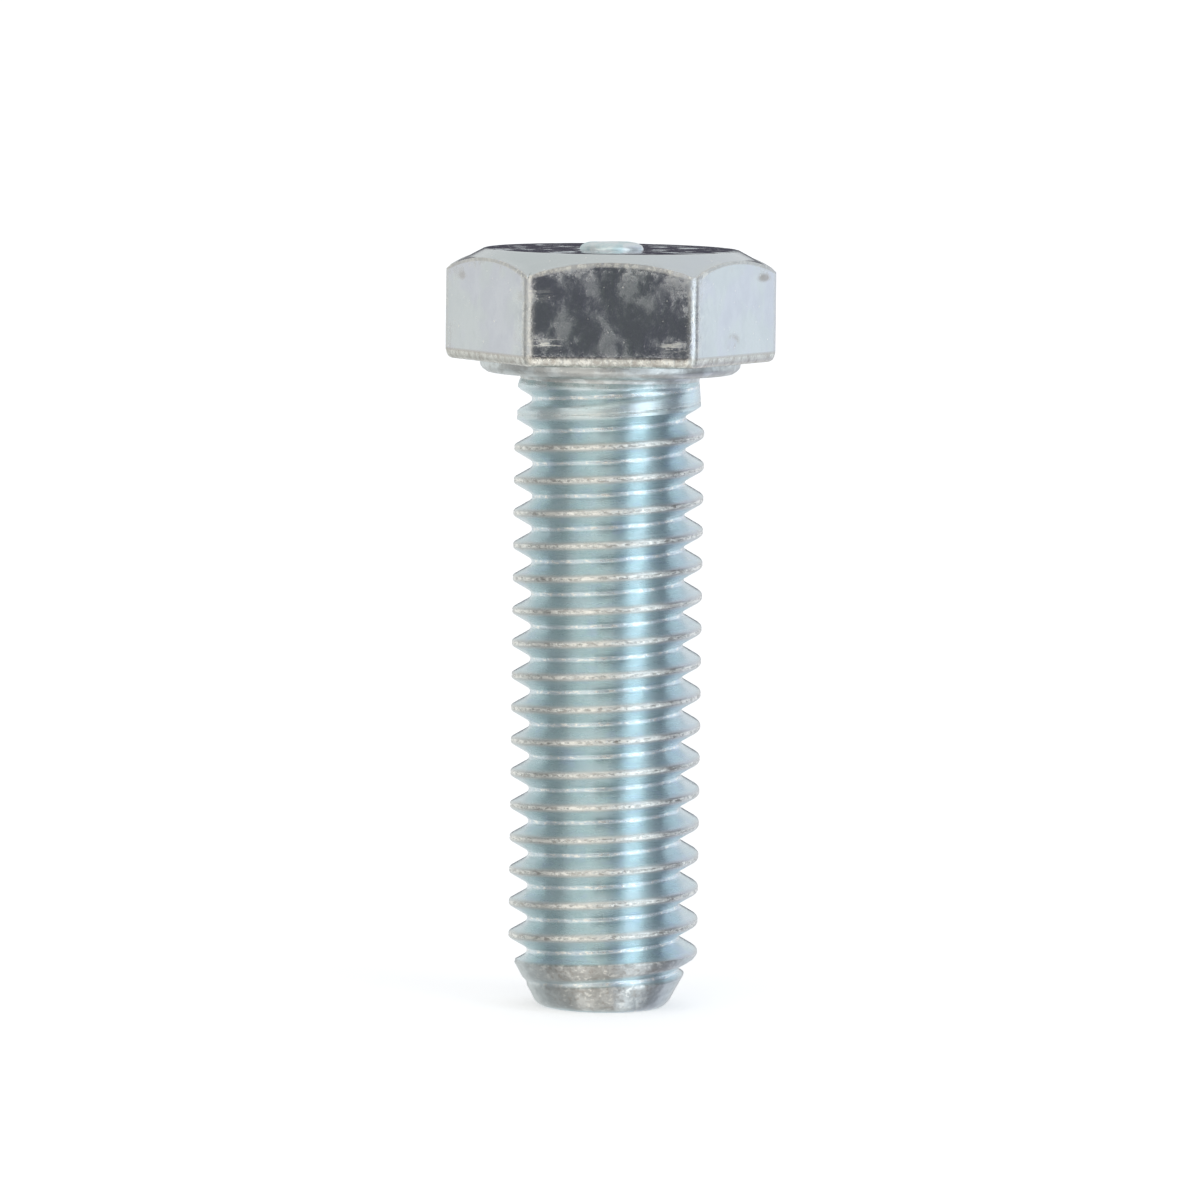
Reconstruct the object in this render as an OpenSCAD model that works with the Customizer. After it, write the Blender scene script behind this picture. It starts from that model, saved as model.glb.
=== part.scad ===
// Hex cap screw, threaded along its whole length, in zinc-plated steel.
// The origin is the middle of the bearing face under the head. +Z runs up through
// the head, the shank hangs down along -Z, and one flat of the hexagon faces -Y.
// The screw is one forging. Its nodes are the regions of that forging, cut apart
// where their shape changes, and they meet face to face.

/* [Length] */
// Length from the bearing face to the end of the point
length = 31; // [20:0.5:60]

/* [Thread] */
// Diameter over the thread crests
major_d = 9.27; // [7.5:0.01:11.5]
// Distance along the axis from one crest to the next
pitch = 1.5875; // [1.3:0.0125:2]
// Angle between the two flanks of the groove
flank_angle = 60; // [55:1:65]
// Width of the flat on top of each crest
crest_flat = 0.26; // [0.15:0.01:0.3]
// Width of the flat at the bottom of the groove
root_flat = 0.26; // [0.15:0.01:0.35]

/* [Thread run-out] */
// Length of plain neck below the bearing face
neck_len = 0.55; // [0.5:0.05:1]
// How much smaller the neck's radius is than a full crest's
neck_drop = 0.29; // [0.15:0.01:0.35]
// How much lower the first crests are than a full one
first_crest_drop = 0.145; // [0.05:0.005:0.2]
// Depth below the bearing face where the crests start to rise to full height
rise_start = 2.1; // [1.5:0.1:3]
// Depth over which they rise
rise_len = 0.8; // [0.4:0.1:1.5]
// Depth below the bearing face where the groove dies out
groove_end = 0.6; // [0.6:0.05:1]
// Angle around the shank, from +X, where it dies out
groove_end_angle = -13; // [-180:1:180]
// Turns over which the groove grows to its full depth
fade_turns = 0.65; // [0.4:0.05:1]

/* [Point] */
// Angle between the point's cone and the axis
point_angle = 28.5; // [25:0.5:45]
// How much smaller the end's radius is than a full crest's
point_inset = 1.435; // [1.2:0.005:1.8]
// Size of the broken edge around the end
end_edge = 0.12; // [0.05:0.01:0.25]

/* [Head] */
// Width across the flats of the hexagon
across_flats = 14.05; // [11.7:0.05:18]
// Height of the head above the bearing face, with the washer face
head_h = 6; // [4.5:0.1:8]
// Radius of the upright corners of the hexagon
corner_r = 0.55; // [0.3:0.05:0.8]
// Angle between the chamfer and the top face, where the chamfer meets the flats
chamfer_angle = 30; // [20:1:35]
// Distance from the flats in to the edge of the top face
top_inset = 0.86; // [0.5:0.02:1.4]
// Height of the trimmed band around the bottom of the hexagon
trim_h = 0.45; // [0.2:0.05:0.8]
// How far the trimmed band leans in at its lower edge
trim_lean = 0.12; // [0.05:0.01:0.25]

/* [Pip] */
// Diameter of the raised pip in the middle of the top face
pip_d = 3.1; // [2:0.1:5]
// Height of the pip
pip_h = 0.34; // [0.2:0.02:0.6]
// Radius of the rounded edge of the pip
pip_round = 0.22; // [0.1:0.01:0.3]
// Diameter of the dimple in the pip
dimple_d = 1.9; // [1:0.1:2.4]
// Depth of the dimple
dimple_depth = 0.07; // [0.03:0.01:0.12]

/* [Washer face] */
// Height of the washer face
washer_h = 0.6; // [0.45:0.05:1]
// Distance from the flats in to the rim of the washer face
washer_inset = 0.675; // [0.4:0.005:0.9]
// Size of the bevel around the lower rim
washer_bevel = 0.3; // [0.1:0.02:0.4]
// Radius of the fillet between the bearing face and the neck
fillet_r = 0.38; // [0.36:0.01:0.45]

/* [Hidden] */

$fn = 72;
steps_per_turn = 30;
turn = 360;
sides = 6;
corner_steps = 8;
side_angle = turn / sides;
spare = 1;

major_r = major_d / 2;
neck_r = major_r - neck_drop;
first_crest_r = major_r - first_crest_drop;
end_r = major_r - point_inset;
flat_r = across_flats / 2;
corner_at = (flat_r - corner_r) / cos(side_angle / 2);
reach = flat_r / cos(side_angle / 2) + spare;
top_r = flat_r - top_inset;
rim_r = flat_r - washer_inset;
pip_r = pip_d / 2;
point_h = point_inset / tan(point_angle);
dimple_sphere_r = (pow(dimple_d / 2, 2) + pow(dimple_depth, 2)) / (2 * dimple_depth);

// The chamfer is slightly crowned: it is part of a sphere through the edge of the top face.
crown_r = flat_r / sin(chamfer_angle);
crown_z = head_h - sqrt(pow(crown_r, 2) - pow(top_r, 2));

// The groove: a trapezium that opens outwards and stops just past the crests.
flank_slope = tan(flank_angle / 2);
thread_depth = (pitch - crest_flat - root_flat) / (2 * flank_slope);
groove_r = major_r - thread_depth;
groove_out_r = major_r + crest_flat / 3;
groove_turns = (length - groove_end) / pitch + 1;
groove_steps = ceil(groove_turns * steps_per_turn);

// Radius of the groove's floor, a number of turns back from where it dies out
function floor_r(turns) =
    turns >= fade_turns ? groove_r
                        : groove_r + (first_crest_r + spare / 50 - groove_r) * pow(1 - turns / fade_turns, 2);

// One corner of the groove's section: its radius, and how far it is above the middle
function groove_corner(r, floor, side) = [r, side * (root_flat / 2 + (r - floor) * flank_slope)];

function groove_section(turns) =
    let (floor = floor_r(turns))
    [
        groove_corner(floor, floor, -1),
        groove_corner(groove_out_r, floor, -1),
        groove_corner(groove_out_r, floor, 1),
        groove_corner(floor, floor, 1)
    ];

function groove_ring(step) =
    let (turns = step / steps_per_turn, angle = groove_end_angle - turns * turn, z = -groove_end - turns * pitch)
    [for (corner = groove_section(turns)) [corner[0] * cos(angle), corner[0] * sin(angle), z + corner[1]]];

// Two triangles for each side of the section, between one ring and the next
function ring_faces(step) =
    let (a = 4 * step, b = a + 4)
    [
        for (i = [0:3])
            let (j = (i + 1) % 4)
            each [[a + i, b + j, a + j], [a + i, b + i, b + j]]
    ];

module thread_groove() {
    last = 4 * groove_steps;
    polyhedron(
        points = [for (step = [0:groove_steps]) each groove_ring(step)],
        faces = concat(
            [[0, 1, 2, 3]],
            [for (step = [0:groove_steps - 1]) each ring_faces(step)],
            [[last + 3, last + 2, last + 1, last]]
        )
    );
}

// The hexagon, with an arc of short sides round each corner
module hexagon_outline() {
    polygon([
        for (i = [0:sides - 1], step = [0:corner_steps])
            let (middle = i * side_angle, facing = middle + side_angle * (step / corner_steps - 1 / 2))
            corner_at * [cos(middle), sin(middle)] + corner_r * [cos(facing), sin(facing)]
    ]);
}

// A wedge that takes the lower edge off one flat
module trim_wedge() {
    rotate([90, 0, 90])
        linear_extrude(2 * reach, center = true)
            polygon([
                [flat_r - trim_lean, washer_h],
                [flat_r, washer_h + trim_h],
                [flat_r + spare, washer_h + trim_h],
                [flat_r + spare, washer_h - spare],
                [flat_r - trim_lean, washer_h - spare]
            ]);
}

module hex_head() {
    color([0.55, 0.57, 0.59])
        difference() {
            intersection() {
                translate([0, 0, washer_h]) linear_extrude(head_h - washer_h) hexagon_outline();
                translate([0, 0, crown_z]) sphere(crown_r);
            }
            for (i = [0:sides - 1]) rotate(i * side_angle) trim_wedge();
        }
}

module centre_pip() {
    color([0.62, 0.72, 0.73])
        translate([0, 0, head_h])
            difference() {
                rotate_extrude()
                    union() {
                        square([pip_r, pip_h - pip_round]);
                        square([pip_r - pip_round, pip_h]);
                        translate([pip_r - pip_round, pip_h - pip_round])
                            intersection() {
                                circle(pip_round);
                                square(pip_round);
                            }
                    }
                translate([0, 0, pip_h - dimple_depth + dimple_sphere_r]) sphere(dimple_sphere_r);
            }
}

module washer_face() {
    color([0.66, 0.70, 0.70])
        rotate_extrude()
            union() {
                polygon([
                    [neck_r, 0],
                    [rim_r - washer_bevel, 0],
                    [rim_r, washer_bevel],
                    [rim_r, washer_h],
                    [neck_r, washer_h]
                ]);
                difference() {
                    translate([neck_r, -fillet_r]) square(fillet_r);
                    translate([neck_r + fillet_r, -fillet_r]) circle(fillet_r);
                }
            }
}

module neck() {
    color([0.60, 0.66, 0.67])
        rotate_extrude()
            polygon([
                [0, washer_h],
                [neck_r, washer_h],
                [neck_r, -fillet_r],
                [first_crest_r, -neck_len],
                [0, -neck_len]
            ]);
}

module threaded_shank() {
    color([0.58, 0.68, 0.70])
        difference() {
            rotate_extrude()
                polygon([
                    [0, -neck_len],
                    [first_crest_r, -neck_len],
                    [first_crest_r, -rise_start],
                    [major_r, -rise_start - rise_len],
                    [major_r, point_h - length],
                    [0, point_h - length]
                ]);
            thread_groove();
        }
}

module chamfered_point() {
    edge_r = end_r + end_edge * tan(point_angle);
    color([0.60, 0.60, 0.58])
        difference() {
            rotate_extrude()
                polygon([
                    [0, point_h - length],
                    [major_r, point_h - length],
                    [edge_r, end_edge - length],
                    [end_r - end_edge, -length],
                    [0, -length]
                ]);
            thread_groove();
        }
}

hex_head();
centre_pip();
washer_face();
neck();
threaded_shank();
chamfered_point();
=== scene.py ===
import math

import bmesh
import bpy
from mathutils import Matrix, Vector, noise


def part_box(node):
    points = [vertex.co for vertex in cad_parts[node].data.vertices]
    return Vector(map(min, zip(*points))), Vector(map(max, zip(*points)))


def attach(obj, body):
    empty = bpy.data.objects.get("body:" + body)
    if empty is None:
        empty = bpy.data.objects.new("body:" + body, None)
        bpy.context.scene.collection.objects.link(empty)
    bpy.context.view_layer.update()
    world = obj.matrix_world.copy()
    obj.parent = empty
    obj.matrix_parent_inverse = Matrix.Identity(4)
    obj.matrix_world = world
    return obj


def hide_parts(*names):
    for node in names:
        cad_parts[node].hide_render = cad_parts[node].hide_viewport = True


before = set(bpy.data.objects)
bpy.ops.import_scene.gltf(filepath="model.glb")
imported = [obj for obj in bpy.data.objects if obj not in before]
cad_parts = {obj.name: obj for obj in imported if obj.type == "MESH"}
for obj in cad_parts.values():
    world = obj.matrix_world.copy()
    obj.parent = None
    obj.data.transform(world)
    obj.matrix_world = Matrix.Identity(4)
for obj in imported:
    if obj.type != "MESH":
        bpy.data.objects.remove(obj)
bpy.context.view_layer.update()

mm = 0.001
toMm = 1000

headLow, headHigh = [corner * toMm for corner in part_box("hex_head")]
pipLow, pipHigh = [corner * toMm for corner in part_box("centre_pip")]
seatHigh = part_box("washer_face")[1] * toMm
neckLow, neckHigh = [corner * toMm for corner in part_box("neck")]
shankLow, shankHigh = [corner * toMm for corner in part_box("threaded_shank")]
pointLow, pointHigh = [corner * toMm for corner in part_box("chamfered_point")]
print("frame loaded, screw is", round(headHigh.z - pointLow.z, 2), "mm long without its pip")


class Sock:
    # a node's output that can stand in a sum
    def __init__(self, graph, out):
        self.graph = graph
        self.out = out

    def maths(self, operation, *others):
        values = dict(enumerate((self,) + others))
        return self.graph.node("Math", {"operation": operation}, values)

    def __add__(self, other):
        return self.maths("ADD", other)

    def __radd__(self, other):
        return self.maths("ADD", other)

    def __sub__(self, other):
        return self.maths("SUBTRACT", other)

    def __rsub__(self, other):
        return self.graph.node("Math", {"operation": "SUBTRACT"}, {0: other, 1: self})

    def __mul__(self, other):
        return self.maths("MULTIPLY", other)

    def __rmul__(self, other):
        return self.maths("MULTIPLY", other)

    def __truediv__(self, other):
        return self.maths("DIVIDE", other)

    def __pow__(self, other):
        return self.maths("POWER", other)

    def __abs__(self):
        return self.maths("ABSOLUTE")

    def rise(self, low, high):
        # 0 below low, 1 above high, smooth between them
        values = {"Value": self, "From Min": low, "From Max": high}
        return self.graph.node("MapRange", {"interpolation_type": "SMOOTHSTEP"}, values)

    def pick(self, name):
        return Sock(self.graph, self.out.node.outputs[name])


class Graph:
    # the node tree of one material, or of the world
    def __init__(self, owner):
        owner.use_nodes = True
        self.tree = owner.node_tree
        self.tree.nodes.clear()

    def node(self, kind, settings=None, values=None, output=0):
        made = self.tree.nodes.new("ShaderNode" + kind)
        for key, value in (settings or {}).items():
            if key == "stops":
                self.setStops(made.color_ramp, value)
            else:
                setattr(made, key, value)
        for key, value in (values or {}).items():
            if isinstance(value, Sock):
                self.tree.links.new(value.out, made.inputs[key])
            else:
                made.inputs[key].default_value = value
        return Sock(self, made.outputs[output]) if made.outputs else made

    def setStops(self, ramp, stops):
        while len(ramp.elements) < len(stops):
            ramp.elements.new(0.5)
        for element, (position, colour) in zip(ramp.elements, stops):
            element.position = position
            element.color = (*colour, 1)

    def blend(self, factor, first, second):
        # colours are mixed by a Mix node, whose colour sockets are numbers 6 and 7
        settings = {"data_type": "RGBA", "clamp_factor": True}
        values = {0: factor, 6: rgba(first), 7: rgba(second)}
        return self.node("Mix", settings, values, 2)

    def fleck(self, place, scale, detail=3, roughness=0.6, distortion=0.0, offset=(0, 0, 0)):
        values = {"Vector": place, "Scale": scale, "Detail": detail, "Roughness": roughness}
        values["Distortion"] = distortion
        if offset != (0, 0, 0):
            values["Vector"] = self.node("VectorMath", {"operation": "ADD"}, {0: place, 1: offset})
        return self.node("TexNoise", {}, values, "Fac")


def rgba(colour):
    return colour if isinstance(colour, Sock) else (*colour, 1)


def placeInMm(graph):
    # Object coordinates, turned from metres into millimetres
    place = graph.node("TexCoord", {}, {}, "Object")
    return graph.node("VectorMath", {"operation": "SCALE"}, {0: place, "Scale": toMm})


def stretched(graph, place, x, y, z):
    return graph.node("VectorMath", {"operation": "MULTIPLY"}, {0: place, 1: (x, y, z)})


def bumped(graph, height, strength, distance):
    values = {"Height": height, "Strength": strength, "Distance": distance}
    return graph.node("Bump", {}, values)


def shine(name, parts, anisotropic=0.0, turn=0.0):
    # the plate's shader; parts holds what varies, the rest is the same all over
    graph = parts["graph"]
    values = {
        "Base Color": parts["colour"],
        "Metallic": 1.0,
        "Roughness": parts["roughness"],
        "Normal": parts["normal"],
        "Anisotropic": anisotropic,
        "Anisotropic Rotation": turn,
    }
    shader = graph.node("BsdfPrincipled", {}, values)
    graph.node("OutputMaterial", {}, {"Surface": shader})
    print("finish made:", name)


def finishPiece(name, shape, node, finish, sharpAngle=38):
    # shape is in millimetres; the piece is in metres
    bmesh.ops.remove_doubles(shape, verts=shape.verts, dist=0.0005)
    bmesh.ops.recalc_face_normals(shape, faces=shape.faces)
    bmesh.ops.scale(shape, vec=(mm, mm, mm), verts=shape.verts)
    mesh = bpy.data.meshes.new(name)
    shape.to_mesh(mesh)
    shape.free()
    mesh.shade_smooth()
    mesh.set_sharp_from_angle(angle=math.radians(sharpAngle))
    mesh.materials.append(finish)
    piece = bpy.data.objects.new(name, mesh)
    bpy.context.scene.collection.objects.link(piece)
    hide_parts(node)
    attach(piece, "root")
    print("piece made:", name, len(mesh.polygons), "faces")
    return piece


def lathe(profile, steps, closed=False):
    # profile is (radius, height) pairs; a closed one joins its last point to its first
    shape = bmesh.new()
    verts = [shape.verts.new((radius, 0, height)) for radius, height in profile]
    pairs = list(zip(verts, verts[1:]))
    if closed:
        pairs.append((verts[-1], verts[0]))
    edges = [shape.edges.new(pair) for pair in pairs]
    bmesh.ops.spin(shape, geom=verts + edges, cent=(0, 0, 0), axis=(0, 0, 1), dvec=(0, 0, 0),
                   angle=math.tau, steps=steps, use_merge=True, use_duplicate=False)
    bmesh.ops.remove_doubles(shape, verts=shape.verts, dist=0.0005)
    return shape


def arc(middleRadius, middleHeight, radius, start, end, count):
    # points on an arc, with its angles in degrees from straight outwards
    points = []
    for i in range(count + 1):
        angle = math.radians(start + (end - start) * i / count)
        points.append((middleRadius + radius * math.cos(angle), middleHeight + radius * math.sin(angle)))
    return points


def softMin(a, b, width):
    overlap = max(width - abs(a - b), 0) / width
    return min(a, b) - overlap * overlap * width / 4


def between(value, low, high):
    # 0 at low, 1 at high, straight between them
    return min(max((value - low) / (high - low), 0), 1)


# the hexagon

head = {
    "cornerRadius": 0.55,
    "chamferAngle": 30,
    "topInset": 0.86,
    "trimHeight": 0.45,
    "trimLean": 0.12,
    "underRadius": 5.0,
    "innerRadii": [5.1, 3.6, 1.9],  # rings on the top face
    "wallRings": 6,
    "chamferRings": 4,
    "arcSteps": 8,
    "flatSteps": 24,
    "lipRadius": 0.11,
    "rimRadius": 0.10,
    "footRadius": 0.24,
    "unevenness": 0.012,
    "sharpAngle": 28,
}
head["topRadius"] = headHigh.y - head["topInset"]
head["crownRadius"] = headHigh.y / math.sin(math.radians(head["chamferAngle"]))
head["crownHeight"] = headHigh.z - math.sqrt(head["crownRadius"] ** 2 - head["topRadius"] ** 2)


def chamferHeight(radius):
    return head["crownHeight"] + math.sqrt(head["crownRadius"] ** 2 - radius ** 2)


def hexOutline(column):
    # where a column of the head stands, and which way it faces
    perSide = head["arcSteps"] + head["flatSteps"]
    side, step = divmod(column, perSide)
    reach = (headHigh.y - head["cornerRadius"]) / math.cos(math.radians(30))

    def corner(number, facing):
        middle = Matrix.Rotation(math.radians(60 * number), 2) @ Vector((reach, 0))
        normal = Vector((math.cos(math.radians(facing)), math.sin(math.radians(facing))))
        return middle + normal * head["cornerRadius"], normal

    if step <= head["arcSteps"]:
        return corner(side, 60 * side - 30 + 60 * step / head["arcSteps"])
    start, normal = corner(side, 60 * side + 30)
    end, normal = corner(side + 1, 60 * side + 30)
    return start.lerp(end, (step - head["arcSteps"]) / head["flatSteps"]), normal


def makeHead(finish):
    wallRings = head["wallRings"]
    chamferRings = head["chamferRings"]
    names = ["pole", "under", "foot", "trim"] + ["wall"] * wallRings + ["lip"]
    names += ["chamfer"] * chamferRings + ["rim"] + ["top"] * len(head["innerRadii"]) + ["pole"]
    columns = 6 * (head["arcSteps"] + head["flatSteps"])
    shape = bmesh.new()
    ringLayer = shape.verts.layers.int.new("ring")
    verts = []
    for number, name in enumerate(names):
        vert = shape.verts.new((0 if name == "pole" else 1, 0, number))
        vert[ringLayer] = number
        verts.append(vert)
    edges = [shape.edges.new(pair) for pair in zip(verts, verts[1:])]
    bmesh.ops.spin(shape, geom=verts + edges, cent=(0, 0, 0), axis=(0, 0, 1), dvec=(0, 0, 0),
                   angle=math.tau, steps=columns, use_merge=True, use_duplicate=False)
    bmesh.ops.remove_doubles(shape, verts=shape.verts, dist=0.0005)
    rimNumber = names.index("rim")
    for vert in shape.verts:
        number = round(vert.co.z)
        name = names[number]
        column = round(math.atan2(vert.co.y, vert.co.x) / math.tau * columns) % columns
        place, normal = hexOutline(column)
        radius = place.length
        lip = chamferHeight(radius)
        trim = headLow.z + head["trimHeight"]
        height = headLow.z
        if name == "pole":
            place = Vector((0, 0))
            height = headLow.z if number == 0 else headHigh.z
        elif name == "under":
            place = place * (head["underRadius"] / radius)
        elif name == "foot":
            place = place - normal * head["trimLean"]
        elif name == "trim":
            height = trim
        elif name == "wall":
            share = (number - names.index("wall") + 1) / (wallRings + 1)
            height = trim + (lip - trim) * share
        elif name == "lip":
            height = lip
        elif name == "chamfer":
            share = (number - names.index("chamfer") + 1) / (chamferRings + 1)
            place = place * ((radius + (head["topRadius"] - radius) * share) / radius)
            height = chamferHeight(place.length)
        elif name == "rim":
            place = place * (head["topRadius"] / radius)
            height = headHigh.z
        else:
            place = place * (head["innerRadii"][number - rimNumber - 1] / radius)
            height = headHigh.z
        vert.co = (place.x, place.y, height)

    def ringEdges(name):
        number = names.index(name)
        return [edge for edge in shape.edges if all(v[ringLayer] == number for v in edge.verts)]

    for name, size in (("lip", "lipRadius"), ("rim", "rimRadius"), ("foot", "footRadius")):
        bmesh.ops.bevel(shape, geom=ringEdges(name), offset=head[size], offset_type="OFFSET", segments=3,
                        profile=0.5, affect="EDGES", clamp_overlap=True, material=-1)
    for vert in shape.verts:
        # forged faces are never quite true, but the top and the underside stay where they seat
        inward = noise.noise(vert.co * 0.45) + 0.5 * noise.noise(vert.co * 1.3)
        flat = Vector((vert.co.x, vert.co.y, 0))
        if flat.length > head["topRadius"] + 0.1:
            vert.co -= flat.normalized() * head["unevenness"] * max(1 + inward, 0)
    finishPiece("forgedHead", shape, "hex_head", finish, head["sharpAngle"])


# the pip on top

pip = {
    "shoulder": 0.62,
    "sunk": 0.05,  # how far its foot goes into the head
    "dimpleRadius": 0.86,
    "dimpleDepth": 0.08,
    "steps": 96,
    "unevenness": 0.03,
    "sharpAngle": 60,
}


def makePip(finish):
    top = pipHigh.z
    radius = pipHigh.x
    shoulder = pip["shoulder"]
    depth = pip["dimpleDepth"]
    base = pipLow.z - pip["sunk"]
    profile = [(0, base), (radius, base), (radius, pipLow.z + 0.02)]
    for outwards, upwards in arc(0, 0, 1, 10, 90, 9):
        profile.append((radius - shoulder * (1 - outwards), pipLow.z + (top - pipLow.z) * upwards))
    profile.append((pip["dimpleRadius"], top - 0.02))
    for share in (0.8, 0.6, 0.4, 0.2, 0.0):
        profile.append((pip["dimpleRadius"] * share, top - depth * (1 - share * share * 0.85)))
    shape = lathe(profile, pip["steps"])
    for vert in shape.verts:
        # pressed a little unevenly, and never proud of its own height
        share = between(vert.co.z, pipLow.z, top)
        push = abs(noise.noise(vert.co * 1.1 + Vector((3.1, 0.4, 0.7)))) * pip["unevenness"]
        vert.co.z -= push * share
        vert.co.x *= 1 - push * 0.4
    finishPiece("centrePip", shape, "centre_pip", finish, pip["sharpAngle"])


# the round seat under the hexagon

seat = {
    # the rim's lower edge, as (distance in from the rim, height)
    "edge": [(0, 0.42), (0.015, 0.33), (0.05, 0.26), (0.15, 0.144), (0.255, 0.07), (0.33, 0.018), (0.42, 0)],
    "edgeWidth": 0.5,
    "ringInset": 0.9,
    "fillet": 0.38,
    "overlap": 0.05,  # how far it goes into the neck
    "steps": 144,
    "unevenness": 0.014,
}


def makeSeat(finish):
    rim = seatHigh.x
    neckRadius = neckHighRadius()
    fillet = seat["fillet"]
    inner = neckRadius - seat["overlap"]
    profile = [(inner, seatHigh.z), (rim, seatHigh.z)]
    profile += [(rim - inset, height) for inset, height in seat["edge"]]
    profile += [(rim - seat["ringInset"], 0)]
    profile += arc(neckRadius + fillet, -fillet, fillet, 90, 180, 6)
    profile += [(inner, -fillet)]
    shape = lathe(profile, seat["steps"], closed=True)
    for vert in shape.verts:
        flat = Vector((vert.co.x, vert.co.y, 0))
        if flat.length > rim - seat["edgeWidth"] and vert.co.z < seatHigh.z - seat["overlap"]:
            vert.co -= flat.normalized() * seat["unevenness"] * (1 + noise.noise(vert.co * 0.9))
    finishPiece("roundSeat", shape, "washer_face", finish)


def neckHighRadius():
    # the neck's own radius: the node is widest at its lower end, where it meets the thread
    return shankHigh.x - neckShape["drop"]


# the neck

neckShape = {"steps": 120, "drop": 0.29, "flareStart": -0.22, "flareRings": 6, "unevenness": 0.012}


def makeNeck(finish):
    radius = neckHighRadius()
    lower = neckLow.z
    flareStart = neckShape["flareStart"]
    rings = neckShape["flareRings"]
    profile = [(0, neckHigh.z), (radius, neckHigh.z), (radius, 0.1)]
    profile += [(radius, flareStart + (lower - flareStart) * i / rings) for i in range(rings + 1)]
    profile += [(0, lower)]
    shape = lathe(profile, neckShape["steps"])
    for vert in shape.verts:
        flat = Vector((vert.co.x, vert.co.y, 0))
        if flat.length > 1:
            # its foot takes the thread's own outline, so that one runs into the other
            share = between(vert.co.z, flareStart, lower)
            share = share * share * (3 - 2 * share)
            plain = radius - neckShape["unevenness"] * (1 + noise.noise(vert.co * 0.8))
            foot = threadRadius(Vector((vert.co.x, vert.co.y, lower)))
            vert.co = flat.normalized() * (plain + (foot - plain) * share) + Vector((0, 0, vert.co.z))
    finishPiece("plainNeck", shape, "neck", finish)


# the rolled thread, shared by the shank and the point

thread = {
    "pitch": 1.5875,
    "depth": 0.925,
    "rootRound": 0.20,
    "crestRound": 0.25,
    "grooveEnd": -0.6,
    "grooveEndAngle": -13,
    "fadeTurns": 0.65,
    "firstCrestDrop": 0.145,
    "startDrop": 0.07,  # how much lower still the crests are where they start
    "startLean": 0.06,  # and how much more on the right than on the left
    "startEnd": -1.9,
    "riseStart": -2.1,
    "riseEnd": -2.9,
    "stepsPerTurn": 120,
    # where the section has its points, as distances from the middle of the groove
    "sectionAt": [0, 0.09, 0.1732, 0.30, 0.44, 0.577, 0.635, 0.685, 0.72, 0.75, 0.772],
    "seamDepth": 0.055,
    "seamWidth": 0.062,
    "seamWander": 0.028,
    "crestBlend": 0.07,
    "unevenness": 0.010,
    "sharpAngle": 50,
}
thread["rootRadius"] = shankHigh.x - thread["depth"]
thread["firstCrest"] = shankHigh.x - thread["firstCrestDrop"]


def grooveProfile(offset):
    # radius of the surface at a distance along the axis from the middle of the groove
    slope = math.sqrt(3)  # the flanks are 60 degrees apart
    rootRound = thread["rootRound"]
    crestRound = thread["crestRound"]
    rootReach = rootRound * math.cos(math.pi / 6)
    crestReach = crestRound * math.cos(math.pi / 6)
    fromCrest = thread["pitch"] / 2 - offset
    if offset < rootReach:
        return thread["rootRadius"] + rootRound - math.sqrt(rootRound ** 2 - offset ** 2)
    if fromCrest < crestReach:
        return shankHigh.x - crestRound + math.sqrt(crestRound ** 2 - fromCrest ** 2)
    return thread["rootRadius"] + rootRound / 2 + (offset - rootReach) * slope


def crestLimit(place):
    # just under the neck the crests are low, most of all on the right
    rise = between(place.z, thread["riseStart"], thread["riseEnd"])
    rise = rise * rise * (3 - 2 * rise)
    start = 1 - between(place.z, shankHigh.z, thread["startEnd"])
    low = start * (thread["startDrop"] + thread["startLean"] * place.x / shankHigh.x)
    return thread["firstCrest"] + (thread["firstCrestDrop"] + 0.03) * rise - low


def threadRadius(place):
    pitch = thread["pitch"]
    angle = math.atan2(place.y, place.x)
    endAngle = math.radians(thread["grooveEndAngle"])
    turnsUp = (place.z - thread["grooveEnd"]) / pitch - (angle - endAngle) / math.tau
    nearest = round(turnsUp)
    offset = (turnsUp - nearest) * pitch
    back = -(nearest + (angle - endAngle) / math.tau)
    fade = 1 - between(back, 0, thread["fadeTurns"])
    lift = (thread["firstCrest"] + 0.02 - thread["rootRadius"]) * fade * fade
    radius = grooveProfile(min(abs(offset), pitch / 2)) + lift
    radius = softMin(radius, crestLimit(place), thread["crestBlend"])
    around = Vector((math.cos(angle), math.sin(angle), 0)) * shankHigh.x + Vector((0, 0, place.z))
    seamShift = thread["seamWander"] * noise.noise(around * 1.7)
    seamStrength = 0.55 + 0.9 * noise.noise(around * 2.3 + Vector((7.3, 1.1, 4.2)))
    fromCrest = abs(pitch / 2 - abs(offset) + seamShift * (1 if offset > 0 else -1))
    crestLine = between(fromCrest, thread["seamWidth"], 0)
    radius -= thread["seamDepth"] * max(seamStrength, 0.08) * crestLine * crestLine * (3 - 2 * crestLine)
    radius -= thread["unevenness"] * abs(noise.noise(around * 0.9)) * between(radius, 3.8, 4.5)
    return radius


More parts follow.
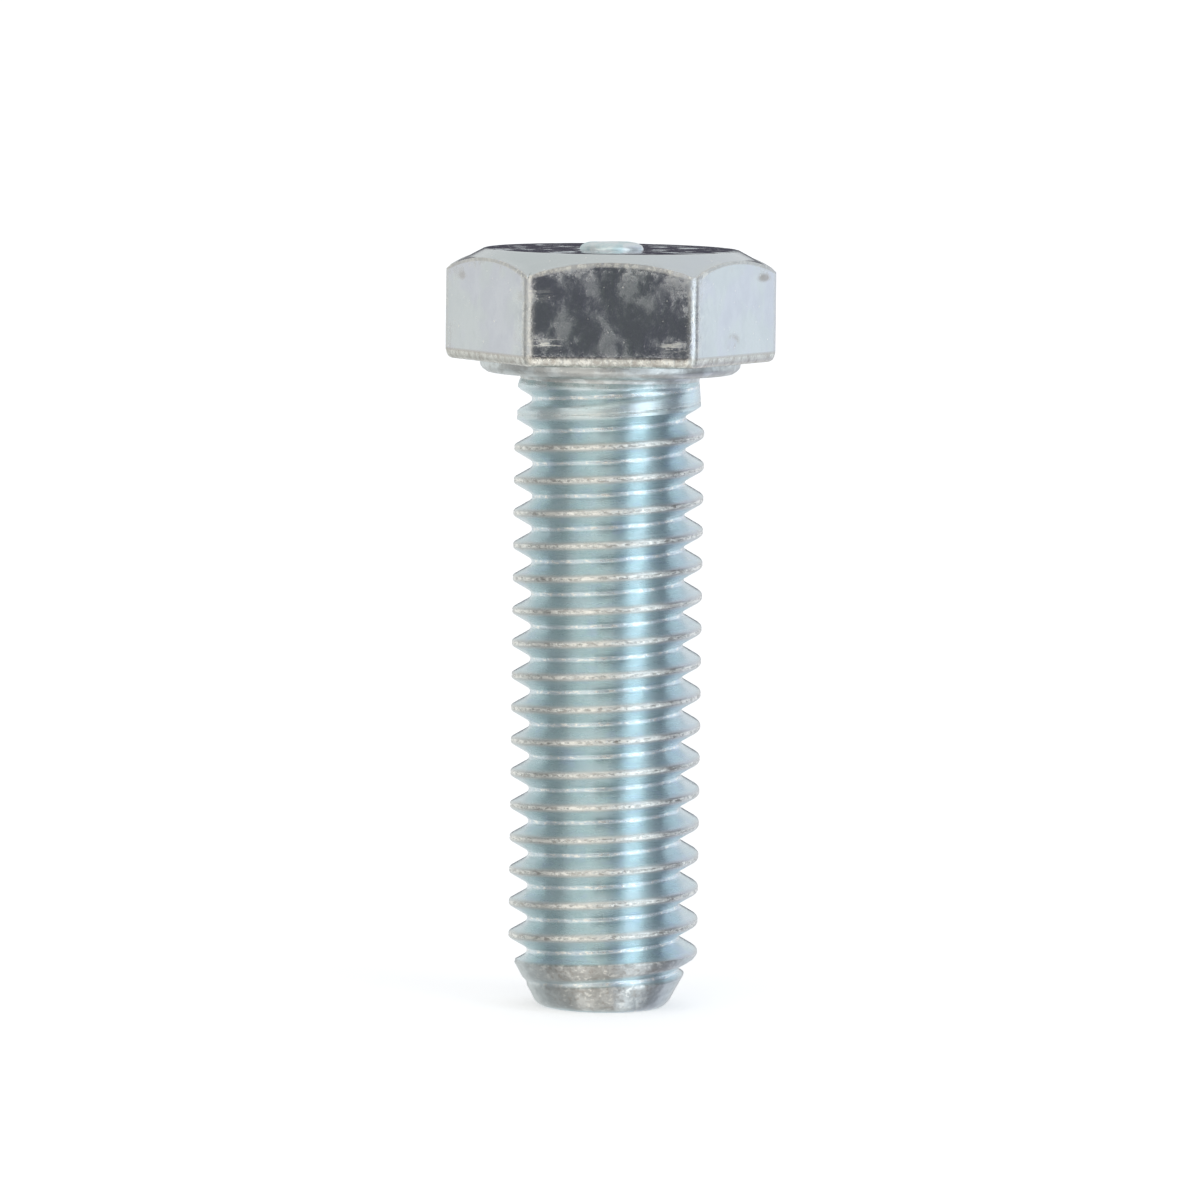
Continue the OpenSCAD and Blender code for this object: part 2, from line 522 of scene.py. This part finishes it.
def sweepThread(top, bottom, radiusAt):
    # one turn of the profile is spun, copied down the axis and cut to length
    pitch = thread["pitch"]
    steps = thread["stepsPerTurn"]
    shape = bmesh.new()
    half = thread["sectionAt"] + [pitch / 2]
    offsets = [-value for value in reversed(half[1:])] + half
    angle = math.radians(thread["grooveEndAngle"])
    startHeight = thread["grooveEnd"] - angle / math.tau * pitch
    turns = math.ceil((top - bottom) / pitch) + 2
    first = math.floor((bottom - startHeight) / pitch) - 1
    verts = []
    for offset in offsets:
        verts.append(shape.verts.new((grooveProfile(abs(offset)), 0, startHeight + first * pitch + offset)))
    edges = [shape.edges.new(pair) for pair in zip(verts, verts[1:])]
    bmesh.ops.spin(shape, geom=verts + edges, cent=(0, 0, 0), axis=(0, 0, 1), dvec=(0, 0, pitch / steps),
                   angle=math.tau, steps=steps, use_merge=False, use_duplicate=False)
    oneTurn = shape.verts[:] + shape.edges[:] + shape.faces[:]
    for turn in range(1, turns):
        copy = bmesh.ops.duplicate(shape, geom=oneTurn)["geom"]
        copyVerts = [part for part in copy if isinstance(part, bmesh.types.BMVert)]
        bmesh.ops.translate(shape, vec=(0, 0, turn * pitch), verts=copyVerts)
    bmesh.ops.remove_doubles(shape, verts=shape.verts, dist=0.004)
    for height, side in ((top, 1), (bottom, -1)):
        everything = shape.verts[:] + shape.edges[:] + shape.faces[:]
        bmesh.ops.bisect_plane(shape, geom=everything, dist=0.0001, plane_co=(0, 0, height),
                               plane_no=(0, 0, side), clear_outer=True)
    for vert in shape.verts:
        flat = Vector((vert.co.x, vert.co.y, 0)).normalized()
        vert.co = flat * radiusAt(vert.co) + Vector((0, 0, vert.co.z))
    return shape


def capEnd(shape, height):
    # closes the cut at this height
    rim = [edge for edge in shape.edges if edge.is_boundary and abs(edge.verts[0].co.z - height) < 0.1]
    bmesh.ops.edgeloop_fill(shape, edges=rim)


def makeShank(finish):
    shape = sweepThread(shankHigh.z, shankLow.z, threadRadius)
    capEnd(shape, shankHigh.z)
    capEnd(shape, shankLow.z)
    finishPiece("rolledThread", shape, "threaded_shank", finish, thread["sharpAngle"])


# the bevelled point

point = {
    "coneAngle": 28.5,
    "coneBlend": 0.08,
    "endRadius": 3.19,
    "endRound": 0.42,
    "faceRings": [0.95, 0.72, 0.45],
    "unevenness": 0.06,
    "faceRoughness": 0.03,
}


def pointRadius(place):
    radius = threadRadius(place)
    up = place.z - pointLow.z
    around = Vector((place.x, place.y, 0)).normalized() * 4
    ragged = noise.noise(around * 0.55 + Vector((2.2, 5.1, 0.3)))
    ragged += 0.5 * noise.noise(around * 1.6 + Vector((0, 0, place.z * 1.3)))
    cone = point["endRadius"] + up * math.tan(math.radians(point["coneAngle"]))
    cone -= point["unevenness"] * (0.6 + ragged) * between(place.z, pointHigh.z, pointHigh.z - 1)
    if up < point["endRound"]:
        inside = point["endRound"] - up
        cone -= 0.8 * (point["endRound"] - math.sqrt(point["endRound"] ** 2 - inside ** 2 * 0.98))
    return softMin(radius, cone, point["coneBlend"])


def makePoint(finish):
    shape = sweepThread(pointHigh.z, pointLow.z, pointRadius)
    capEnd(shape, pointHigh.z)
    for shrink in point["faceRings"]:
        rim = [edge for edge in shape.edges if edge.is_boundary]
        grown = bmesh.ops.extrude_edge_only(shape, edges=rim)["geom"]
        for vert in grown:
            if isinstance(vert, bmesh.types.BMVert):
                vert.co = Vector((vert.co.x * shrink, vert.co.y * shrink, pointLow.z))
                vert.co.z += point["faceRoughness"] * max(0.5 + noise.noise(vert.co * 1.3), 0)
    capEnd(shape, pointLow.z)
    finishPiece("bevelledPoint", shape, "chamfered_point", finish, thread["sharpAngle"])


# the finishes: bright zinc plate, all of it, with its own marks on each part and some painted highlights and
# shade

threadLook = {
    "flank": (0.655, 0.79, 0.795),
    "flankPale": (0.74, 0.83, 0.86),
    "crest": (0.66, 0.645, 0.60),
    "root": (0.80, 0.85, 0.92),
    "lilac": (0.68, 0.76, 0.87),
    "paintedRootShade": (0.42, 0.50, 0.52),
    "brownTone": (0.42, 0.385, 0.34),
    "cream": (1.0, 0.985, 0.92),
    "lowCrests": (-3.0, -2.1),  # the crests above here are low and smooth
    "roughness": 0.26,
    "anisotropic": 0.92,
    "turn": 0.25,
    "bump": (0.45, 0.00005),
}

pointLook = {
    "dark": (0.50, 0.50, 0.475),
    "pale": (0.70, 0.70, 0.67),
    "side": (0.68, 0.75, 0.76),
    "coneEdge": (0.06, 0.30),
}


def makeThreadFinish(name, bevelled):
    # the thread's plate; the bevelled point has it in the grooves, and a dull grey on its cone
    finish = bpy.data.materials.new(name)
    graph = Graph(finish)
    place = placeInMm(graph)
    axes = graph.node("SeparateXYZ", {}, {0: place})
    x, y, z = axes, axes.pick("Y"), axes.pick("Z")
    pitch = thread["pitch"]
    wander = graph.fleck(stretched(graph, place, 1, 1, 0.6), 1.5, 2, 0.5)
    broken = graph.fleck(stretched(graph, place, 1, 1, 2.2), 2.6, 4, 0.75)
    patches = graph.fleck(place, 0.8, 3, 0.6)
    specks = graph.fleck(stretched(graph, place, 1, 1, 2), 6.5, 3, 0.7)
    drag = graph.fleck(stretched(graph, place, 0.5, 0.5, 9), 1.3, 4, 0.65)
    # how far a point is along the axis from the nearest crest, and from the nearest root
    turns = (z - thread["grooveEnd"]) / pitch - y.maths("ARCTAN2", x) / math.tau
    turns = turns + thread["grooveEndAngle"] / 360
    fromCrest = abs(turns.maths("FRACT") + wander * 0.07 - 0.535) * pitch
    fromRoot = pitch / 2 - fromCrest
    crest = 1 - fromCrest.rise(0.08, 0.30)
    full = 1 - z.rise(*threadLook["lowCrests"])
    # a painted highlight: a broken cream line along each crest, weaker on the low crests near the head
    crestLine = (1 - fromCrest.rise(0.035, 0.11)) * broken.rise(0.45, 0.55) * (0.3 + 0.7 * full)
    # painted shade: a broken brown band beside each full crest
    shade = (1 - fromCrest.rise(0.05, 0.17)) * (1 - broken.rise(0.38, 0.48)) * full
    root = 1 - fromRoot.rise(0.02, 0.12)
    glint = root * broken.rise(0.50, 0.60)
    # painted shade: darker streaks near each root
    paintedRootShade = (1 - fromRoot.rise(0.06, 0.26)) * drag.rise(0.50, 0.60)
    colour = graph.blend(patches.rise(0.35, 0.65) * 0.8, threadLook["flank"], threadLook["flankPale"])
    colour = graph.blend((1 - patches).rise(0.52, 0.66) * 0.55, colour, threadLook["lilac"])
    colour = graph.blend(paintedRootShade * 0.45, colour, threadLook["paintedRootShade"])
    colour = graph.blend(crest * (0.25 + 0.5 * full), colour, threadLook["crest"])
    colour = graph.blend(root * 0.35, colour, threadLook["root"])
    colour = graph.blend(glint, colour, threadLook["cream"])
    colour = graph.blend(shade * 0.6, colour, threadLook["brownTone"])
    # painted highlight along the crests
    colour = graph.blend(crestLine, colour, threadLook["cream"])
    colour = graph.blend(specks.rise(0.64, 0.72) * 0.45, colour, threadLook["brownTone"])
    colour = graph.blend((1 - specks).rise(0.64, 0.72) * 0.6, colour, threadLook["cream"])
    rough = threadLook["roughness"] + 0.12 * drag.rise(0.35, 0.75) + 0.04 * crestLine - 0.06 * glint
    height = drag * 0.6 + specks * crest * 0.6 + patches * 0.6 + broken * (root * 1.1 + crestLine * 0.7)
    if bevelled:
        slope = math.tan(math.radians(point["coneAngle"]))
        inside = (z - pointLow.z) * slope + point["endRadius"] - (x * x + y * y) ** 0.5
        cone = 1 - inside.rise(*pointLook["coneEdge"])
        blotch = graph.fleck(place, 1.1, 4, 0.6, 0.2)
        gravel = graph.fleck(stretched(graph, place, 1, 1, 1.4), 2.9, 3, 0.62, 0.2)
        middle = (y * -1).rise(2.0, 4.0)
        dull = graph.blend(blotch.rise(0.40, 0.60), pointLook["dark"], pointLook["pale"])
        # painted reflection: the cone's sides are made lighter and tealer than its front
        dull = graph.blend((1 - middle) * 0.6, dull, pointLook["side"])
        dull = graph.blend(gravel.rise(0.52, 0.66) * (0.15 + 0.5 * middle), dull, threadLook["brownTone"])
        flecks = (1 - gravel).rise(0.54, 0.64) * (0.15 + 0.75 * middle)
        dull = graph.blend(flecks * 0.85, dull, threadLook["cream"])
        colour = graph.blend(cone, colour, dull)
        rough = rough * (1 - cone) + (0.34 + 0.14 * gravel) * cone
        height = height * (1 - cone) + (blotch * 2.0 + gravel * 0.8) * cone
    parts = {"graph": graph, "colour": colour, "roughness": rough}
    parts["normal"] = bumped(graph, height, *threadLook["bump"])
    shine(name, parts, threadLook["anisotropic"], threadLook["turn"])
    return finish


headLook = {
    "wall": (0.66, 0.68, 0.70),
    "plum": (0.58, 0.58, 0.64),
    "olive": (0.60, 0.64, 0.61),
    "chamfer": (0.665, 0.70, 0.695),
    "light": (0.86, 0.88, 0.86),
    "dusk": (0.46, 0.47, 0.50),
    "top": (0.52, 0.535, 0.565),
    "smudge": (0.72, 0.79, 0.81),
    "wearAndLipShade": (0.60, 0.58, 0.54),
    "foot": (0.70, 0.68, 0.61),
    "brownTone": (0.47, 0.42, 0.37),
    "cream": (0.97, 0.95, 0.87),
    "roughness": 0.15,
    "bump": (0.5, 0.00006),
    # (place in mm, reach in mm, strength)
    "scuffs": [((-3.0, -7.0, 1.75), (1.2, 1.5, 0.34), 1.0), ((3.0, -7.0, 1.65), (1.0, 1.5, 0.34), 1.0),
               ((-3.4, -7.0, 4.2), (0.8, 1.5, 0.7), 0.35), ((5.2, 4.0, 2.0), (1.6, 1.6, 0.5), 0.7)],
    "stains": [((7.4, -1.2, 4.75), (0.9, 0.9, 0.28), 0.9), ((5.75, -3.7, 1.75), (0.8, 1.0, 0.55), 0.8),
               ((-7.2, -1.6, 4.7), (0.6, 0.6, 0.3), 0.5), ((-1.5, 7.0, 3.4), (1.4, 1.0, 0.8), 0.7)],
}


def nearMark(graph, place, centre, reach):
    # 1 at the middle of a mark, 0 beyond its reach
    away = graph.node("VectorMath", {"operation": "SUBTRACT"}, {0: place, 1: centre})
    away = graph.node("VectorMath", {"operation": "DIVIDE"}, {0: away, 1: reach})
    return 1 - graph.node("VectorMath", {"operation": "LENGTH"}, {0: away}, "Value").rise(0.3, 1.0)


def makeHeadFinish():
    finish = bpy.data.materials.new("headZinc")
    graph = Graph(finish)
    place = placeInMm(graph)
    axes = graph.node("SeparateXYZ", {}, {0: place})
    x, y, z = axes, axes.pick("Y"), axes.pick("Z")
    radius = (x * x + y * y) ** 0.5
    lip = (head["crownRadius"] ** 2 - radius * radius).maths("MAXIMUM", 0.01) ** 0.5 + head["crownHeight"]
    below = lip - z
    slant = math.sqrt(3) / 2
    across = abs(y).maths("MAXIMUM", abs(x * slant + y * 0.5)).maths("MAXIMUM", abs(x * slant - y * 0.5))
    wall = across.rise(headHigh.y - 0.12, headHigh.y - 0.04)
    corner = radius.rise(7.84, 7.98) * wall
    topFace = z.rise(headHigh.z - 0.06, headHigh.z - 0.015) * (1 - radius.rise(6.0, 6.1))
    foot = (1 - z.rise(headLow.z + 0.42, headLow.z + 0.52)) * across.rise(headHigh.y - 0.4, headHigh.y - 0.25)
    mottle = graph.fleck(stretched(graph, place, 1, 1, 0.75), 0.95, 5, 0.60, 0.15)
    cloud = graph.fleck(place, 0.42, 3, 0.55, 0.2, (4.0, 1.0, 7.0))
    fine = graph.fleck(place, 4.2, 4, 0.68, 0.2)
    specks = graph.fleck(place, 4.6, 1, 0.5, 0.0, (2.0, 9.0, 5.0))
    streaks = graph.fleck(stretched(graph, place, 1, 1, 5), 1.5, 4, 0.7, 0.4)
    upright = graph.fleck(stretched(graph, place, 1, 1, 0.6), 3.4, 4, 0.7, 0.3)
    plating = graph.blend(cloud.rise(0.42, 0.58), headLook["plum"], headLook["olive"])
    plating = graph.blend(0.35 + 0.5 * fine, plating, headLook["wall"])
    front = (y * -1).rise(5.6, 6.6)
    colour = graph.blend(wall, headLook["chamfer"], plating)
    colour = graph.blend(topFace, colour, headLook["top"])
    uneven = wall * (0.12 + 0.33 * front)
    colour = graph.blend(mottle.rise(0.46, 0.62) * uneven, colour, headLook["light"])
    colour = graph.blend((1 - mottle).rise(0.46, 0.62) * uneven * 0.8, colour, headLook["dusk"])
    lipEdge = (1 - below.rise(0.03, 0.10 + 0.10 * front)) * wall
    nearEdge = (1 - below.rise(0.1, 1.0)) * wall * mottle.rise(0.46, 0.60)
    nearEdge = nearEdge.maths("MAXIMUM", radius.rise(7.35, 7.95) * wall * mottle.rise(0.47, 0.58))
    edge = lipEdge.maths("MAXIMUM", corner * 0.55)
    # painted shade: a darker band on the chamfer along the lip, mixed in with the real edge wear
    lipShade = (1 - wall) * (1 - (headHigh.y - across).rise(0.04, 0.22))
    wearAndLipShade = (edge * fine.rise(0.26, 0.50)).maths("MAXIMUM", lipShade * 0.45)
    wearAndLipShade = wearAndLipShade.maths("MAXIMUM", nearEdge * fine.rise(0.36, 0.66) * 0.55)
    # painted highlight: cream along the edges and corners, strongest on the front face
    edgeHighlight = edge * fine.rise(0.48, 0.60) * (0.35 + 0.65 * front)
    scuff = 0
    for centre, reach, strength in headLook["scuffs"]:
        scuff = nearMark(graph, place, centre, reach) * strength + scuff
    scuff = scuff * streaks.rise(0.46, 0.58)
    brownTone = 0
    for centre, reach, strength in headLook["stains"]:
        brownTone = nearMark(graph, place, centre, reach) * strength + brownTone
    brownTone = brownTone * mottle.rise(0.40, 0.56)
    colour = graph.blend(wearAndLipShade * 0.8, colour, headLook["wearAndLipShade"])
    colour = graph.blend(brownTone * 0.75, colour, headLook["brownTone"])
    colour = graph.blend(foot * 0.8, colour, headLook["foot"])
    colour = graph.blend(foot * upright.rise(0.50, 0.60) * (0.4 + 0.6 * front), colour, headLook["cream"])
    colour = graph.blend(foot * (1 - upright).rise(0.50, 0.62) * 0.55, colour, headLook["brownTone"])
    # painted shade: a dark line in the crease above the trimmed foot
    crease = (1 - abs(z - headLow.z - 0.48).rise(0.03, 0.09)) * wall
    colour = graph.blend(crease * 0.45, colour, headLook["brownTone"])
    colour = graph.blend(edgeHighlight * 0.9, colour, headLook["cream"])
    colour = graph.blend(scuff, colour, headLook["cream"])
    speck = specks.rise(0.735, 0.775)
    colour = graph.blend(speck * 0.8, colour, headLook["cream"])
    smudge = topFace * cloud.rise(0.44, 0.62) * mottle.rise(0.42, 0.62)
    colour = graph.blend(smudge * 0.7, colour, headLook["smudge"])
    dulled = topFace * mottle.rise(0.54, 0.68)
    rough = headLook["roughness"] + (0.06 + 0.05 * front) * mottle.rise(0.45, 0.62)
    rough = rough - 0.08 * topFace + 0.16 * dulled + 0.20 * smudge + 0.12 * foot
    rough = rough + 0.22 * wearAndLipShade + 0.2 * scuff + 0.2 * brownTone + 0.2 * speck
    height = mottle * (0.7 + 0.75 * front) + upright * front * 0.25 + fine * (0.10 + 0.20 * front)
    height = height + wearAndLipShade * fine * 0.4 + foot * upright * 0.9
    height = height * (1 - topFace * 0.75)
    normal = bumped(graph, height, *headLook["bump"])
    parts = {"graph": graph, "colour": colour, "roughness": rough, "normal": normal}
    shine("headZinc", parts)
    return finish


plainLooks = {
    "pipZinc": {"base": (0.62, 0.76, 0.77), "patch": (0.84, 0.87, 0.86), "dull": (0.52, 0.48, 0.49),
                "rough": 0.34, "bump": 0.5, "scale": 0.9, "dulled": (0.62, 0.70)},
    "seatZinc": {"base": (0.58, 0.59, 0.57), "patch": (0.80, 0.84, 0.83), "dull": (0.42, 0.39, 0.35),
                 "rough": 0.30, "bump": 0.6, "scale": 0.7, "dulled": (0.60, 0.72)},
    "neckZinc": {"base": (0.58, 0.70, 0.71), "patch": (0.80, 0.86, 0.87), "dull": (0.40, 0.40, 0.36),
                 "rough": 0.26, "bump": 0.6, "scale": 0.8, "dulled": (0.62, 0.72)},
}


def makePlainFinish(name):
    look = plainLooks[name]
    finish = bpy.data.materials.new(name)
    graph = Graph(finish)
    place = placeInMm(graph)
    patches = graph.fleck(place, look["scale"], 5, 0.65, 0.4)
    fine = graph.fleck(stretched(graph, place, 1, 1, 1.6), 4.5, 4, 0.7)
    rings = graph.fleck(stretched(graph, place, 0.6, 0.6, 6), 1.4, 4, 0.6)
    colour = graph.blend(patches.rise(0.44, 0.60) * 0.8, look["base"], look["patch"])
    colour = graph.blend(fine.rise(*look["dulled"]) * 0.6, colour, look["dull"])
    colour = graph.blend((1 - fine).rise(0.60, 0.70) * 0.7, colour, (0.97, 0.95, 0.88))
    rough = look["rough"] + 0.14 * fine.rise(0.35, 0.7)
    normal = bumped(graph, patches * 1.2 + fine * 0.35 + rings * 0.5, look["bump"], 0.00006)
    parts = {"graph": graph, "colour": colour, "roughness": rough, "normal": normal}
    shine(name, parts)
    return finish


makeHead(makeHeadFinish())
makePip(makePlainFinish("pipZinc"))
makeSeat(makePlainFinish("seatZinc"))
makeNeck(makePlainFinish("neckZinc"))
makeShank(makeThreadFinish("threadZinc", False))
makePoint(makeThreadFinish("pointZinc", True))

# the studio: a pale floor and a soft surround with pale and dark screens
# a ring is a list of (azimuth from the front, to the right; tone); tones change evenly between its stops

studio = {
    "above": (0.80, 0.80, 0.80),
    "below": (0.72, 0.72, 0.72),
    "seen": (0.97, 0.97, 0.97),
    "ringZone": (-58, 58, 7),
    "levelZone": (-18, 7, 7),
    "backZone": (-1, 8, 4),
    "backWidth": (5, 10),
    "backTone": (0.080, 0.078, 0.100),
    "ring": [
        (-180, (0.76, 0.78, 0.79)), (-140, (0.68, 0.70, 0.71)), (-118, (0.46, 0.49, 0.50)),
        (-100, (0.43, 0.45, 0.46)), (-84, (0.40, 0.41, 0.42)), (-70, (0.48, 0.48, 0.48)),
        (-58, (0.80, 0.80, 0.79)), (-46, (1.02, 1.02, 1.00)), (-24, (1.12, 1.11, 1.08)),
        (-10, (1.22, 1.19, 1.13)), (0, (1.22, 1.19, 1.14)), (8, (0.97, 0.97, 0.96)),
        (15, (0.56, 0.57, 0.60)), (24, (0.50, 0.53, 0.58)), (32, (1.08, 1.18, 1.28)),
        (37, (1.45, 1.60, 1.75)), (55, (1.62, 1.78, 1.92)), (63, (0.88, 0.96, 1.02)),
        (72, (0.51, 0.54, 0.58)), (84, (0.36, 0.38, 0.42)), (92, (0.25, 0.27, 0.30)),
        (106, (0.25, 0.27, 0.32)), (116, (0.52, 0.56, 0.66)), (136, (0.76, 0.78, 0.92)),
        (150, (0.76, 0.78, 0.84)), (180, (0.76, 0.78, 0.79)),
    ],
    "level": [
        (-180, (0.76, 0.78, 0.79)), (-136, (0.86, 0.885, 0.89)), (-108, (0.86, 0.885, 0.89)),
        (-98, (0.42, 0.43, 0.44)), (-70, (0.46, 0.46, 0.46)), (-58, (0.80, 0.80, 0.79)),
        (-46, (1.00, 1.00, 0.98)), (-20, (1.05, 1.03, 1.00)), (-11, (0.115, 0.115, 0.15)),
        (11, (0.13, 0.145, 0.14)), (17, (0.44, 0.46, 0.49)), (24, (0.50, 0.53, 0.58)),
        (32, (1.08, 1.18, 1.28)), (37, (1.45, 1.60, 1.75)), (55, (1.62, 1.78, 1.92)),
        (63, (0.88, 0.96, 1.02)), (72, (0.51, 0.54, 0.58)), (84, (0.36, 0.38, 0.42)),
        (98, (0.25, 0.27, 0.32)), (107, (0.94, 1.02, 1.10)), (134, (0.94, 1.02, 1.10)),
        (150, (0.78, 0.80, 0.86)), (180, (0.76, 0.78, 0.79)),
    ],
}


def zoneMask(elevation, zone):
    low, high, soft = zone
    return elevation.rise(low - soft, low) * (1 - elevation.rise(high, high + soft))


def makeWorld():
    world = bpy.data.worlds.new("studioSurround")
    bpy.context.scene.world = world
    graph = Graph(world)
    axes = graph.node("SeparateXYZ", {}, {0: graph.node("TexCoord", {}, {}, "Generated")})
    x, y, z = axes, axes.pick("Y"), axes.pick("Z")
    around = x.maths("ARCTAN2", y * -1) / math.tau + 0.5
    elevation = z.maths("ARCSINE") * (180 / math.pi)
    rings = []
    for name in ("ring", "level"):
        stops = [(azimuth / 360 + 0.5, tone) for azimuth, tone in studio[name]]
        rings.append(graph.node("ValToRGB", {"stops": stops}, {"Fac": around}, "Color"))
    colour = graph.blend(elevation.rise(-30, 30), studio["below"], studio["above"])
    colour = graph.blend(zoneMask(elevation, studio["ringZone"]), colour, rings[0])
    colour = graph.blend(zoneMask(elevation, studio["levelZone"]), colour, rings[1])
    fromBack = 180 - abs(around - 0.5) * 360
    back = (1 - fromBack.rise(*studio["backWidth"])) * zoneMask(elevation, studio["backZone"])
    colour = graph.blend(back, colour, studio["backTone"])
    seen = graph.node("LightPath", {}, {}, "Is Camera Ray")
    colour = graph.blend(seen, colour, studio["seen"])
    surround = graph.node("Background", {}, {"Color": colour, "Strength": 1.0})
    graph.node("OutputWorld", {}, {"Surface": surround})
    print("surround made")


floorLook = {"size": 40, "colour": (0.86, 0.86, 0.86), "glow": 0.42}


def makeFloor():
    finish = bpy.data.materials.new("paleFloor")
    graph = Graph(finish)
    values = {
        "Base Color": rgba(floorLook["colour"]),
        "Roughness": 0.9,
        "Specular IOR Level": 0.0,
        "Emission Color": (1, 1, 1, 1),
        "Emission Strength": floorLook["glow"],
    }
    shader = graph.node("BsdfPrincipled", {}, values)
    graph.node("OutputMaterial", {}, {"Surface": shader})
    shape = bmesh.new()
    bmesh.ops.create_grid(shape, x_segments=2, y_segments=2, size=floorLook["size"] / 2)
    bmesh.ops.translate(shape, vec=(0, 0, pointLow.z * mm), verts=shape.verts)
    mesh = bpy.data.meshes.new("floor")
    shape.to_mesh(mesh)
    shape.free()
    mesh.materials.append(finish)
    floor = bpy.data.objects.new("floor", mesh)
    bpy.context.scene.collection.objects.link(floor)
    floor.visible_glossy = False
    print("floor made")


camera = {
    "aim": (-0.35, 0, -11.12),
    "distance": 421,
    "elevation": 4.95,
    "roll": 0.74,
    "lens": 259.26,
    "sensor": 36,
}


def makeCamera():
    data = bpy.data.cameras.new("studioCamera")
    data.lens = camera["lens"]
    data.sensor_width = camera["sensor"]
    data.clip_start = 0.01
    data.clip_end = 60
    eye = bpy.data.objects.new("studioCamera", data)
    bpy.context.scene.collection.objects.link(eye)
    lift = math.radians(camera["elevation"])
    back = Vector((0, -math.cos(lift), math.sin(lift)))
    turned = (-back).to_track_quat("-Z", "Y").to_matrix().to_4x4()
    roll = Matrix.Rotation(math.radians(camera["roll"]), 4, "Z")
    stand = (Vector(camera["aim"]) + back * camera["distance"]) * mm
    eye.matrix_world = Matrix.Translation(stand) @ turned @ roll
    bpy.context.scene.camera = eye
    print("camera made")


makeWorld()
makeFloor()
makeCamera()
bpy.context.scene.view_settings.view_transform = "Standard"
bpy.context.scene.view_settings.look = "None"
